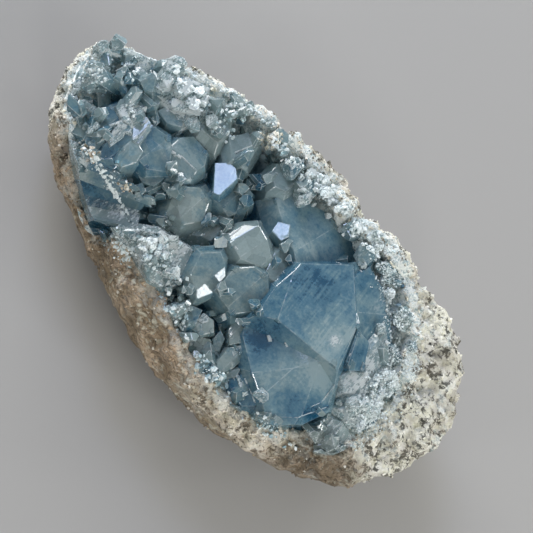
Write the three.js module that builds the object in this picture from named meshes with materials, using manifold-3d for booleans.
// Celestite crystal cluster: one half of an elongated geode, lying on its back with the hollow open upwards.
// A shell of pale, grainy limestone holds a crust of blue celestite that lines and nearly fills the hollow.
//
// Millimetres, +Z up. X runs along the stone, with the broad end at +X; the low side of the rim is at -Y.
// The origin is on the table, under the middle of the whole piece.
import * as THREE from "three";
import { ConvexGeometry } from "three/addons/geometries/ConvexGeometry.js";
import { mergeVertices } from "three/addons/utils/BufferGeometryUtils.js";
import Module from "manifold-3d";

// Driving dimensions.
const RIM_LEVEL = 50; // usual height of the broken rim above the table
const FLOOR = 11; // thickness of stone left under the hollow
const FLOOR_SHARE = 0.5; // the hollow's floor, as a share of its mouth
const BASE_SHARE = 0.5; // the worn flat that the stone rests on, as a share of its plan
const GAP = 0.5; // clearance between the crust and the stone
const STONE_STEPS = 80; // steps around the outside of the stone
const HOLLOW_STEPS = 42; // steps around the hollow and the crust that fills it
const LUMP = { length: 44, height: 1.7 }; // broad lumps of the weathered outside
const PIT = { length: 21, height: 1.8 }; // pits between them
const LEDGE = { spacing: 12, height: 0.6, wander: 3 }; // ledges that run along the wall
const CALM_HEIGHT = 9; // the weathering dies away below this height, towards the flat that the stone rests on
const EYE = { distance: 500, slope: THREE.MathUtils.degToRad(66) }; // where the crystals are looked at from
const CENTRE = { x: -4, y: 5 }; // the point that the plan is carried round
const ORIGIN = { x: -3.58, y: 6.55 }; // middle of the finished piece, which becomes the part's own origin
const ROOT_LEVEL = 17; // how far down the named crystals reach

// The stone's plan where it is widest, going round from the broad end: x, y, the rim's height, its thickness.
const OUTLINE = [
  [85, 9, 42, 20],
  [84, 20, 45, 24],
  [78, 32.5, 48, 25],
  [68, 41.5, 50, 22],
  [52, 46.5, 51, 14],
  [29.5, 48.5, 51, 8],
  [9, 47, 51, 8],
  [-4, 51, 51, 8],
  [-24.5, 48, 52, 6],
  [-45.5, 44, 51, 5],
  [-62, 37.5, 50, 4],
  [-76, 28, 50, 4],
  [-91, 17.5, 49, 4],
  [-90.5, 7, 47, 4],
  [-86, -4, 46, 4],
  [-78, -12, 45, 4],
  [-68.5, -16.5, 34, 4],
  [-56, -20, 26, 3],
  [-45, -25, 28, 3],
  [-35, -27, 41, 5],
  [-22, -32, 43, 6],
  [-4, -36, 42, 7],
  [14, -37.5, 42, 5],
  [30, -36, 40, 5],
  [43.5, -31.5, 37, 7],
  [60.5, -24, 35, 11],
  [77, -13, 37, 17],
];

// The half shell's profile from the underside to the middle of the top: share of the plan, share of the height.
const STONE_PROFILE = [
  [0, 0],
  [BASE_SHARE, 0],
  [0.62, 0.035],
  [0.73, 0.09],
  [0.82, 0.165],
  [0.89, 0.26],
  [0.945, 0.37],
  [0.98, 0.49],
  [0.998, 0.61],
  [1, 0.72],
  [0.99, 0.82],
  [0.965, 0.91],
  [0.925, 0.975],
  [0.87, 1],
  [0.76, 1.01],
  [0.6, 1.01],
  [0, 1.01],
];

const { Manifold, Mesh: SolidMesh } = await loadSolids();

async function loadSolids() {
  const wasm = await Module();
  wasm.setup();
  return wasm;
}

// A closed surface as a solid that can be joined and cut.
function solid(geometry) {
  const bare = geometry.clone();
  bare.deleteAttribute("normal");
  bare.deleteAttribute("uv");
  const merged = mergeVertices(bare, 1e-4);
  return new Manifold(
    new SolidMesh({
      numProp: 3,
      vertProperties: merged.attributes.position.array,
      triVerts: new Uint32Array(merged.index.array),
    }),
  );
}

// The surface of a solid.
function geometryOf(made) {
  const mesh = made.getMesh();
  return new THREE.BufferGeometry()
    .setAttribute("position", new THREE.BufferAttribute(mesh.vertProperties, 3))
    .setIndex(new THREE.BufferAttribute(mesh.triVerts, 1));
}

// A repeatable random number from 0 to 1.
function seeded(seed) {
  let state = seed;
  return () => {
    state = (state + 0x6d2b79f5) | 0;
    let t = Math.imul(state ^ (state >>> 15), 1 | state);
    t = (t + Math.imul(t ^ (t >>> 7), 61 | t)) ^ t;
    return ((t ^ (t >>> 14)) >>> 0) / 4294967296;
  };
}

// The plan, the rim height and the rim thickness as smooth closed curves round the stone.
const closedCurve = (points) => new THREE.CatmullRomCurve3(points, true, "centripetal");
const planCurve = closedCurve(OUTLINE.map(([x, y, rim]) => new THREE.Vector3(x, y, rim)));
const wallCurve = closedCurve(OUTLINE.map(([x, y, , wall]) => new THREE.Vector3(x, y, wall)));

// Everything known at one place round the stone, with turn from 0 to 1.
function around(turn) {
  const plan = planCurve.getPoint(turn % 1);
  const wall = wallCurve.getPoint(turn % 1).z;
  const out = new THREE.Vector2(plan.x - CENTRE.x, plan.y - CENTRE.y);
  return { out, rim: plan.z, mouth: 1 - wall / out.length() };
}

// A surface carried round the stone: place(turn, column) gives the point for a column of the profile.
function carriedRound(columns, rings, place) {
  const lathe = new THREE.LatheGeometry(
    Array.from({ length: columns }, (_, i) => new THREE.Vector2(i === 0 || i === columns - 1 ? 0 : 1, i)),
    rings,
  );
  const position = lathe.attributes.position;
  for (let ring = 0; ring <= rings; ring++) {
    for (let column = 0; column < columns; column++) {
      const point = place((ring % rings) / rings, column);
      position.setXYZ(ring * columns + column, point.x, point.y, point.z);
    }
  }
  return lathe;
}

// A bumpy field from -1 to 1, made of three bent waves of about the given length.
function waves(point, length, shift) {
  const [x, y, z] = point.toArray().map((value) => (2 * Math.PI * value) / length);
  const alongX = Math.sin(x + 1.7 * Math.sin(0.7 * y + shift));
  const alongY = Math.sin(1.1 * y + 1.5 * Math.sin(0.8 * z + 2 * shift));
  const alongZ = Math.sin(0.9 * z + 1.6 * Math.sin(0.6 * x + 3 * shift));
  return (alongX + alongY + alongZ) / 3;
}

// How far the weathered skin stands in or out at a point.
function weathering(point) {
  const lumps = waves(point, LUMP.length, 0);
  const pits = Math.abs(waves(point, PIT.length, 5));
  const ledges = Math.sin((2 * Math.PI * point.z) / LEDGE.spacing + LEDGE.wander * lumps);
  return LUMP.height * lumps - PIT.height * pits + LEDGE.height * ledges;
}

// A point of the stone: a share of the plan outwards, and a share of the rim's height up.
function stonePoint(turn, share, height) {
  const { out, rim } = around(turn);
  const rimHere = THREE.MathUtils.lerp(RIM_LEVEL, rim, share);
  return new THREE.Vector3(CENTRE.x + out.x * share, CENTRE.y + out.y * share, rimHere * height);
}

// A point of the hollow: a share of its mouth outwards, and a share of the way up from its floor to the rim.
function hollowPoint(turn, share, height) {
  const { out, rim, mouth } = around(turn);
  const rimHere = THREE.MathUtils.lerp(RIM_LEVEL, rim, Math.min(1, share));
  const level = FLOOR + height * (rimHere - FLOOR);
  return new THREE.Vector3(CENTRE.x + out.x * share * mouth, CENTRE.y + out.y * share * mouth, level);
}

// The way straight out from the middle of the plan.
const outward = (turn) => new THREE.Vector3(around(turn).out.x, around(turn).out.y, 0).normalize();

// The whole stone with no hollow, weathered all over but for its flat underside and the middle of its top.
// Grown by a gap, it is the space that the crust keeps clear of.
function wholeStone(gap) {
  return solid(
    carriedRound(STONE_PROFILE.length, STONE_STEPS, (turn, column) => {
      const [share, height] = STONE_PROFILE[column];
      const point = stonePoint(turn, share, height);
      if (height === 0 || share === 0) return point;
      const push = gap + weathering(point) * Math.min(1, point.z / CALM_HEIGHT);
      const upward = THREE.MathUtils.smoothstep(height, 0.9, 1);
      return point
        .addScaledVector(outward(turn), push * (1 - upward))
        .add(new THREE.Vector3(0, 0, push * upward));
    }),
  );
}

// The hollow from its floor to well above the rim, drawn in by a gap where the crust is fitted to it.
const HOLLOW_PROFILE = [
  [0, 0],
  [FLOOR_SHARE, 0],
  [0.76, 0.2],
  [0.92, 0.5],
  [1, 1],
  [1.03, 1.7],
  [0, 1.7],
];

function hollow(gap) {
  return solid(
    carriedRound(HOLLOW_PROFILE.length, HOLLOW_STEPS, (turn, column) => {
      const [share, height] = HOLLOW_PROFILE[column];
      const point = hollowPoint(turn, share, height);
      if (share > 0) point.addScaledVector(outward(turn), -gap);
      if (height === 0) point.z += gap;
      return point;
    }),
  );
}

// The open side of the crust's root: share of the mouth, share of the way up from the floor to the rim.
const CRUST_PROFILE = [
  [1, 0.97],
  [0.9, 0.92],
  [0.75, 0.72],
  [0.5, 0.46],
  [0.25, 0.35],
  [0, 0.32],
];

// A point on the open side of the root, and the way crystals grow there. Depth 0 is the rim, 1 the middle.
function crustPoint(turn, depth) {
  const step = depth * (CRUST_PROFILE.length - 1);
  const i = Math.min(CRUST_PROFILE.length - 2, Math.floor(step));
  const share = THREE.MathUtils.lerp(CRUST_PROFILE[i][0], CRUST_PROFILE[i + 1][0], step - i);
  const height = THREE.MathUtils.lerp(CRUST_PROFILE[i][1], CRUST_PROFILE[i + 1][1], step - i);
  const grows = outward(turn).multiplyScalar(-share).add(new THREE.Vector3(0, 0, 1)).normalize();
  return { at: hollowPoint(turn, share, height), grows };
}

// The crust's root: the layer of massive celestite from which the crystals rise.
function crustRoot() {
  const under = [[0, 0.02], [FLOOR_SHARE, 0.02], [0.9, 0.4], [1, 0.8]];
  const last = under.length + CRUST_PROFILE.length - 1;
  return solid(
    carriedRound(last + 1, HOLLOW_STEPS, (turn, column) => {
      if (column < under.length) return hollowPoint(turn, ...under[column]);
      const { at, grows } = crustPoint(turn, (column - under.length) / (CRUST_PROFILE.length - 1));
      return at.addScaledVector(grows, column === last ? 0 : weathering(at));
    }),
  );
}

// A crystal from its faces: each face is a plane with an outward normal and a distance from the origin.
// Every corner is where three planes meet that no other plane cuts off.
function crystalFrom(faces) {
  const corners = [];
  for (let i = 0; i < faces.length; i++)
    for (let j = i + 1; j < faces.length; j++)
      for (let k = j + 1; k < faces.length; k++) {
        const [a, b, c] = [faces[i], faces[j], faces[k]];
        const bc = new THREE.Vector3().crossVectors(b.normal, c.normal);
        const spread = a.normal.dot(bc);
        if (Math.abs(spread) < 1e-3) continue;
        const corner = bc
          .multiplyScalar(a.distance)
          .addScaledVector(new THREE.Vector3().crossVectors(c.normal, a.normal), b.distance)
          .addScaledVector(new THREE.Vector3().crossVectors(a.normal, b.normal), c.distance)
          .divideScalar(spread);
        if (faces.every((face) => face.normal.dot(corner) < face.distance + 1e-4)) corners.push(corner);
      }
  return new ConvexGeometry(corners);
}

// Celestite's own faces, as normals from its axes. The axes' lengths are 8.36, 5.35 and 6.87.
const AXES = { a: 8.36, b: 5.35, c: 6.87 };
const millerNormal = (h, k, l) => new THREE.Vector3(h / AXES.a, k / AXES.b, l / AXES.c).normalize();
const bothSigns = (index) => (index === 0 ? [0] : [index, -index]);
const form = (h, k, l) =>
  bothSigns(h).flatMap((i) => bothSigns(k).flatMap((j) => bothSigns(l).map((m) => millerNormal(i, j, m))));

// Distances of the faces from the middle of a crystal 1 long. It grows along its a axis, as celestite does.
const HABIT = [
  { normals: form(2, 1, 0), distance: 0.8 },
  { normals: form(0, 1, 1), distance: 0.36 },
  { normals: form(0, 0, 1), distance: 0.4 },
];

// One crystal of the usual habit, pointing along grows, with its root in the crust.
function habitCrystal(at, grows, length, random) {
  const faces = HABIT.flatMap(({ normals, distance }) =>
    normals.map((normal) => ({ normal, distance: distance * length * (0.85 + 0.3 * random()) })),
  );
  const level = new THREE.Vector3().crossVectors(grows, new THREE.Vector3(0, 0, 1)).normalize();
  const spun = level.applyAxisAngle(grows, random() * 2 * Math.PI);
  const turn = new THREE.Matrix4().makeBasis(grows, spun, new THREE.Vector3().crossVectors(grows, spun));
  return crystalFrom(faces).applyMatrix4(turn.setPosition(at));
}

// Where a point lies that the eye sees at x and y, if its height is known. The eye looks along +Y and down at
// the zero of the plan at rim level, and x and y are measured there, across its line of sight.
function seenAt(x, y, height) {
  const { distance, slope } = EYE;
  const eye = new THREE.Vector3(0, -Math.cos(slope), Math.sin(slope)).multiplyScalar(distance);
  const seen = new THREE.Vector3(x, y * Math.sin(slope), y * Math.cos(slope));
  const sight = seen.sub(eye);
  const at = eye.addScaledVector(sight, (height - RIM_LEVEL - eye.z) / sight.z);
  return new THREE.Vector3(at.x, at.y, height);
}

// The crystals that can be told apart. Each has one main flat face: its corners as the eye sees them, its
// level at the middle, and how much it rises per millimetre along x and y. A ridge runs over that face from one
// point to another, and beyond it, away from the middle, the crystal falls off by so much per millimetre.
const NAMED_CRYSTALS = [
  { name: "great_plate", level: 54.3, rise: [0.05, -0.06], bevel: 4,
    face: [[9.2, 14], [21, 26.5], [37, 13.5], [43, 0], [20, -3.5], [13, -4.5], [10.5, 3]],
    ridges: [[18, -4, 13.5, 4, 0.5], [37, 13, 41.5, 0.5, 0.4]] },
  { name: "great_foot", level: 51, rise: [0.02, 0.28], bevel: 3,
    face: [[15, -9.5], [20, -4.5], [43, -1], [48, -10], [45.5, -18.5], [38.5, -27], [25, -21.5], [17, -15]],
    ridges: [[25.5, -21, 36, -6.5, 0.3], [36, -6, 41, -24, 0.3], [33, -8, 33, -22, 0.15]] },
  { name: "great_back", level: 49, rise: [0.08, -0.22], bevel: 3,
    face: [[-12, 22], [-10, 27], [3, 31.5], [18, 31.5], [20, 26], [9, 14], [1, 16]],
    ridges: [[8, 31, 5, 16, 0.3]] },
  { name: "great_shoulder", level: 52, rise: [-0.15, -0.15], bevel: 3,
    face: [[24, 22], [25, 30], [36, 28], [48.5, 19.5], [42, 13.5], [30, 14.5]],
    ridges: [[40.5, 24, 30, 14, 0.3]] },
  { name: "shoulder_tip", level: 51, rise: [-0.2, -0.3],
    face: [[20, 26.5], [22, 30], [25, 32], [28.5, 30.5], [28, 23], [25.5, 21]],
    ridges: [[25, 32, 25.5, 21, 0.5]] },
  { name: "blue_window", level: 53, rise: [-0.3, 0.05],
    face: [[38, 13.5], [43.5, 13.5], [49, 6], [46, 2.5], [43, 4]], ridges: [[38.5, 13.5, 44.5, 2.5, 0.6]] },
  { name: "frosted_corner", level: 50, rise: [-0.2, 0.1], bevel: 2.5,
    face: [[44, 20], [50, 16], [56, 11], [50, 6], [46, 9]], ridges: [[49, 14, 50, 7, 0.4]] },
  { name: "frosted_block", level: 50, rise: [-0.1, 0.1], bevel: 2,
    face: [[46, 2.5], [50, 6], [55, 4.5], [53, -1], [50, -3.5], [45, -1]], ridges: [[50, 5, 51, -3, 0.4]] },
  { name: "frosted_edge", level: 47, rise: [0.1, 0.2], bevel: 2,
    face: [[54, 0], [58, 4], [61, 0], [58, -7], [52, -8.5]], ridges: [[53, -8, 59, 3, 0.5]] },
  { name: "grey_wedge", level: 44, rise: [0.1, 0.2],
    face: [[59, 0], [62, 2], [64, -2], [63, -8], [59, -8]] },
  { name: "clear_round", level: 42, rise: [0.05, 0.25], bevel: 3,
    face: [[51, -17], [52.5, -12.5], [57, -10.5], [63, -12], [65, -16], [60, -21], [54, -21]],
    ridges: [[60, -21, 57, -10.5, 0.35]] },
  { name: "dark_wedge", level: 44, rise: [0, 0.2],
    face: [[46.5, -4], [51, -3.5], [52, -8], [48, -11]] },
  { name: "striped_block", level: 43, rise: [0.1, 0.35], bevel: 2,
    face: [[20, -26], [24, -23.5], [30, -23.5], [34, -28], [31, -31.5], [24, -30]],
    ridges: [[24, -31, 28, -23, 0.4]] },
  { name: "small_dark", level: 40, rise: [0, 0.2], face: [[38, -28], [43, -26], [44, -30], [40, -31.5]] },
  { name: "pale_block", level: 52, rise: [0.05, 0.12], bevel: 2.5,
    face: [[-13, 4], [-12, 8], [-9, 12], [-4, 11], [0, 8.5], [0, 4], [-5, 0.5], [-11, 1.5]],
    ridges: [[-11.5, 2, -9.5, 11.5, 0.6], [-4, 11, -5.5, 1, 0.25]] },
  { name: "pale_rhomb", level: 50, rise: [0.02, 0.22], bevel: 3,
    face: [[-4, -3], [0, 2], [5, 3], [10, -1], [10, -6], [6, -13.5], [-3, -13]],
    ridges: [[4, -13, 4, 3, 0.25]] },
  { name: "grey_block", level: 49, rise: [-0.1, -0.15], bevel: 2,
    face: [[1, 10], [2, 15], [7, 13.5], [9, 10], [9, 4], [4, 3]] },
  { name: "bright_cap", level: 50.5, rise: [0.28, 0.04],
    face: [[-6, 17.5], [-2.5, 20], [0, 17], [-0.5, 14], [-5, 14]] },
  { name: "dark_block", level: 43, rise: [0.1, 0.1],
    face: [[9.5, -5], [12, -3.5], [15, -8.5], [12, -11], [9, -9]] },
  { name: "ledge_crystal", level: 50, rise: [-0.1, 0.18], bevel: 2,
    face: [[-15, -8], [-11, -3], [-7, -4.5], [-2.5, -9], [-5, -18], [-12, -15.5]],
    ridges: [[-7, -19, -6.5, -4, 0.45]] },
  { name: "ledge", level: 48, rise: [0.02, 0.12], bevel: 2.5,
    face: [[-37, -20], [-33, -16.5], [-27, -12.5], [-18, -10], [-13, -15], [-18, -24], [-27, -28], [-35, -27]],
    ridges: [[-24, -28, -26, -12, 0.3]] },
  { name: "bright_face", level: 50, rise: [0.3, 0],
    face: [[-34, 15], [-31, 18.5], [-28, 19], [-25, 17], [-25, 9], [-27, 8]] },
  { name: "grey_prism", level: 47, rise: [-0.3, -0.1], bevel: 2,
    face: [[-25, 17.5], [-18, 17.5], [-15.5, 12], [-18, 6.5], [-25, 8]], ridges: [[-21, 17.5, -21.5, 7, 0.35]] },
  { name: "round_grey", level: 48, rise: [0.05, 0.15], bevel: 3,
    face: [[-35, 2], [-31, 6], [-26, 5], [-23.5, 0], [-26, -5.5], [-32, -6.5], [-35, -2]],
    ridges: [[-28, -6, -28, 6, 0.3], [-35, -1, -27, -6, 0.4]] },
  { name: "rough_grey", level: 45, rise: [0.1, 0.1], bevel: 2,
    face: [[-23, 3], [-19, 5], [-15.5, 2], [-16, -3], [-21, -5]], ridges: [[-19, -4, -19, 5, 0.4]] },
  { name: "split_block", level: 50, rise: [0.02, -0.12], bevel: 2,
    face: [[-47.5, 12], [-45, 15.5], [-38, 15.5], [-35.5, 12], [-36, 7.5], [-40, 3], [-44, 3], [-47.5, 7]],
    ridges: [[-36, 8.8, -46, 7.5, 0.45]] },
  { name: "stepped_block", level: 51, rise: [0.08, 0.05], bevel: 2,
    face: [[-57, 0], [-56, 8], [-50, 9.5], [-47, 7.5], [-43.5, 2.5], [-48, -2.5], [-52, -3]],
    ridges: [[-50, 9, -51, -3, 0.2]] },
  { name: "lower_step", level: 47, rise: [0.05, 0.2],
    face: [[-49, -2.5], [-43.5, 2], [-41, -1], [-41.5, -5], [-45, -7], [-49, -6]] },
  { name: "great_knob", level: 52, rise: [0.03, 0.05], bevel: 3,
    face: [[-69.5, 7], [-63, 9.5], [-57.5, 8], [-52, -1], [-55, -10.5], [-60, -12.5], [-66, -11.5], [-72, -4]],
    ridges: [[-67, -13, -70, 2, 0.6], [-70, 3.5, -57, 5, 0.4], [-60, 0, -57, -12, 0.3]] },
  { name: "broken_slab", level: 44, rise: [0.04, 0.45], bevel: 2,
    face: [[-68, -14], [-60, -14], [-48, -15.5], [-40, -17], [-41, -21], [-51, -27], [-67, -19]],
    ridges: [[-53, -26, -58, -14, 0.3]] },
  { name: "slab_top", level: 46, rise: [0.02, 0.1],
    face: [[-63, -13], [-56, -11], [-47, -10.5], [-40, -13], [-40, -17], [-50, -16], [-60, -14.5]] },
  { name: "small_point", level: 47, rise: [0.2, 0.2], face: [[-46, -10], [-45, -7], [-42, -8], [-42, -12]] },
  { name: "lone_grey", level: 46, rise: [0.2, 0],
    face: [[-77.5, 10], [-75, 13.5], [-73, 10], [-73, 5.5], [-76.5, 5]] },
  { name: "white_tip", level: 50, rise: [0.1, -0.15],
    face: [[-76, 15], [-73.5, 18], [-69.5, 18], [-69.5, 12.5], [-73, 11.5]], ridges: [[-73, 18, -72, 11, 0.4]] },
  { name: "dark_top", level: 49, rise: [0.1, -0.1],
    face: [[-69.5, 17.5], [-65.5, 18], [-65.5, 13], [-68.5, 11.5]] },
  { name: "top_wedge", level: 50, rise: [0.15, -0.05],
    face: [[-66, 11.5], [-63.5, 17.5], [-61, 17.5], [-60, 13], [-63, 10.5]] },
  { name: "top_left_block", level: 50, rise: [0.1, -0.2], bevel: 2,
    face: [[-69, 22], [-64.5, 26], [-60, 23], [-61, 19.5], [-66, 19.5]], ridges: [[-64.5, 26, -64, 19, 0.4]] },
  { name: "white_block", level: 51, rise: [-0.1, -0.2], bevel: 2,
    face: [[-61.5, 19], [-60, 27], [-53, 30], [-50, 24], [-51, 18]], ridges: [[-57, 30, -54, 17, 0.35]] },
  { name: "blue_step", level: 50, rise: [0.1, 0.1],
    face: [[-59, 12.5], [-58, 17.5], [-51, 17.5], [-50, 14.5], [-54, 12]] },
  { name: "pale_back", level: 50, rise: [0.05, -0.2], bevel: 2,
    face: [[-50, 22], [-48, 28.5], [-41, 29], [-38, 25], [-38, 20], [-45, 19]], ridges: [[-44, 29, -45, 19, 0.35]] },
  { name: "back_drop", level: 50, rise: [0.1, -0.15], bevel: 2,
    face: [[-37, 24], [-34, 29.5], [-29, 29.5], [-27.5, 24], [-31, 20]], ridges: [[-30.5, 30, -31, 20, 0.4]] },
  { name: "back_block", level: 50, rise: [0.12, -0.1], bevel: 2,
    face: [[-20, 30], [-17, 34], [-11, 32], [-11.5, 26], [-15, 24.5], [-19.5, 27]] },
  { name: "small_long", level: 45, rise: [0.1, 0.1],
    face: [[7.5, -13], [10, -11.5], [13, -13], [16, -17], [13.5, -21], [10, -18]], ridges: [[12, -21, 11, -12, 0.5]] },
  { name: "small_tall", level: 44, rise: [-0.1, 0.15],
    face: [[14, -22], [16.5, -18], [20, -18.5], [20, -25], [18.5, -30], [15, -28]],
    ridges: [[18, -30, 18, -18, 0.5]] },
  { name: "small_drop", level: 44, rise: [0.1, 0.2],
    face: [[0, -20.5], [4, -19.5], [7, -22], [5, -26], [1, -27]] },
  { name: "small_bead", level: 41, rise: [0, 0.15],
    face: [[4.5, -27], [8, -24.5], [11, -26], [10.5, -29.5], [6, -31]] },
  { name: "small_shadow", level: 42, rise: [0.1, 0.2],
    face: [[8, -20], [11, -21], [13, -25], [11.5, -26], [8.5, -24]] },
];

// A plane that keeps what lies behind it: its outward normal and its distance from the origin.
const plane = (normal, point) => ({ normal: normal.normalize(), distance: normal.dot(point) });

// How steeply a crystal falls from its main face: bevels at celestite's own few angles, then the sides.
const BEVEL_RISE = [0.58, 0.78, 0.48];
const SIDE_RISE = 0.14;

// A named crystal: its main face, the planes that fall away at its ridges, and a side below each edge. The large
// ones have a bevel between, so many millimetres wide.
function namedCrystal({ level, rise, face, bevel = 0, ridges = [] }) {
  const midX = face.reduce((sum, [x]) => sum + x, 0) / face.length;
  const midY = face.reduce((sum, [, y]) => sum + y, 0) / face.length;
  const onFace = (x, y) => seenAt(x, y, level + rise[0] * (x - midX) + rise[1] * (y - midY));
  const middle = onFace(midX, midY);
  const up = new THREE.Vector3()
    .crossVectors(onFace(midX + 1, midY).sub(middle), onFace(midX, midY + 1).sub(middle))
    .normalize();
  const planes = [
    plane(up.clone(), middle),
    plane(new THREE.Vector3(0, 0, -1), new THREE.Vector3(0, 0, ROOT_LEVEL)),
  ];
  ridges.forEach(([x1, y1, x2, y2, fall]) => {
    const start = onFace(x1, y1);
    const away = new THREE.Vector3().crossVectors(onFace(x2, y2).sub(start), up).normalize();
    if (away.dot(middle.clone().sub(start)) > 0) away.negate();
    planes.push(plane(up.clone().addScaledVector(away, fall), start));
  });
  face.forEach(([x, y], i) => {
    const corner = onFace(x, y);
    const next = onFace(...face[(i + 1) % face.length]);
    const out = new THREE.Vector3().crossVectors(up, next.sub(corner)).normalize();
    if (out.dot(corner.clone().sub(middle)) < 0) out.negate();
    const side = out.clone().addScaledVector(up, SIDE_RISE);
    planes.push(plane(side, corner.clone().addScaledVector(out, bevel)));
    if (bevel > 0) planes.push(plane(out.clone().addScaledVector(up, BEVEL_RISE[i % BEVEL_RISE.length]), corner));
  });
  return crystalFrom(planes);
}

// Smaller crystals that fill the crust between the great ones, row by row from the rim inwards.
const FILL_ROWS = [
  { depth: 0.04, count: 21, length: [5, 8] },
  { depth: 0.18, count: 14, length: [7, 11] },
  { depth: 0.4, count: 6, length: [8, 12] },
];
const FILL_LEAN = 0.7; // how far they lean from growing straight out
const FILL_SEED = 11;

function fillCrystals() {
  const random = seeded(FILL_SEED);
  return FILL_ROWS.flatMap(({ depth, count, length }) =>
    Array.from({ length: count }, (_, i) => {
      const { at, grows } = crustPoint((i + 0.8 * random()) / count, depth + 0.08 * random());
      const lean = new THREE.Vector3(random() - 0.5, random() - 0.5, random() - 0.5);
      const size = THREE.MathUtils.lerp(length[0], length[1], random());
      return solid(habitCrystal(at, grows.addScaledVector(lean, FILL_LEAN).normalize(), size, random));
    }),
  );
}

// The dark crack that parts the lobe at the narrow end from the low stretch of rim.
const CRACK = { at: seenAt(-69.5, -17, 38), size: [2.6, 18, 30], lean: 0.32, turn: -0.25 };

function crack() {
  const wedge = new THREE.CylinderGeometry(CRACK.size[0], 0.1, CRACK.size[2], 4, 1)
    .scale(1, 1, CRACK.size[1] / 2)
    .rotateX(Math.PI / 2)
    .rotateY(CRACK.lean)
    .rotateZ(CRACK.turn)
    .translate(CRACK.at.x, CRACK.at.y, CRACK.at.z);
  return solid(wedge);
}

// The stone shell: the whole stone less its hollow.
function shellGeometry() {
  return geometryOf(wholeStone(0).subtract(hollow(0)).subtract(crack()));
}

// How far crystals may lap over the rim: a space as wide as the hollow below it, and wider above.
const LAP_PROFILE = [
  [0, 0],
  [FLOOR_SHARE, 0],
  [0.76, 0.2],
  [0.92, 0.5],
  [1, 0.85],
  [1.01, 1],
  [1.02, 1.7],
  [0, 1.7],
];

function lapSpace() {
  const place = (turn, column) => hollowPoint(turn, ...LAP_PROFILE[column]);
  return solid(carriedRound(LAP_PROFILE.length, HOLLOW_STEPS, place));
}

// The crust: root and crystals joined in one, kept clear of the shell, and the largest piece of what is left.
function crustGeometry() {
  const crystals = Manifold.union([
    crustRoot(),
    ...NAMED_CRYSTALS.map((crystal) => solid(namedCrystal(crystal))),
    ...fillCrystals(),
  ]);
  const kept = crystals.intersect(lapSpace()).subtract(wholeStone(GAP).subtract(hollow(GAP)));
  const pieces = kept.decompose().sort((p, q) => q.volume() - p.volume());
  return geometryOf(pieces[0]);
}

const limestone = new THREE.MeshStandardMaterial({ color: 0xb3ada2, roughness: 0.92, metalness: 0 });
const celestite = new THREE.MeshStandardMaterial({ color: 0x7f9fb5, roughness: 0.15, metalness: 0 });

function piece(name, geometry, material) {
  const mesh = new THREE.Mesh(geometry, material);
  mesh.name = name;
  return mesh;
}

const specimen = new THREE.Group();
specimen.add(piece("stone_shell", shellGeometry(), limestone));
specimen.add(piece("celestite_crust", crustGeometry(), celestite));
specimen.position.set(-ORIGIN.x, -ORIGIN.y, 0);

export default specimen;
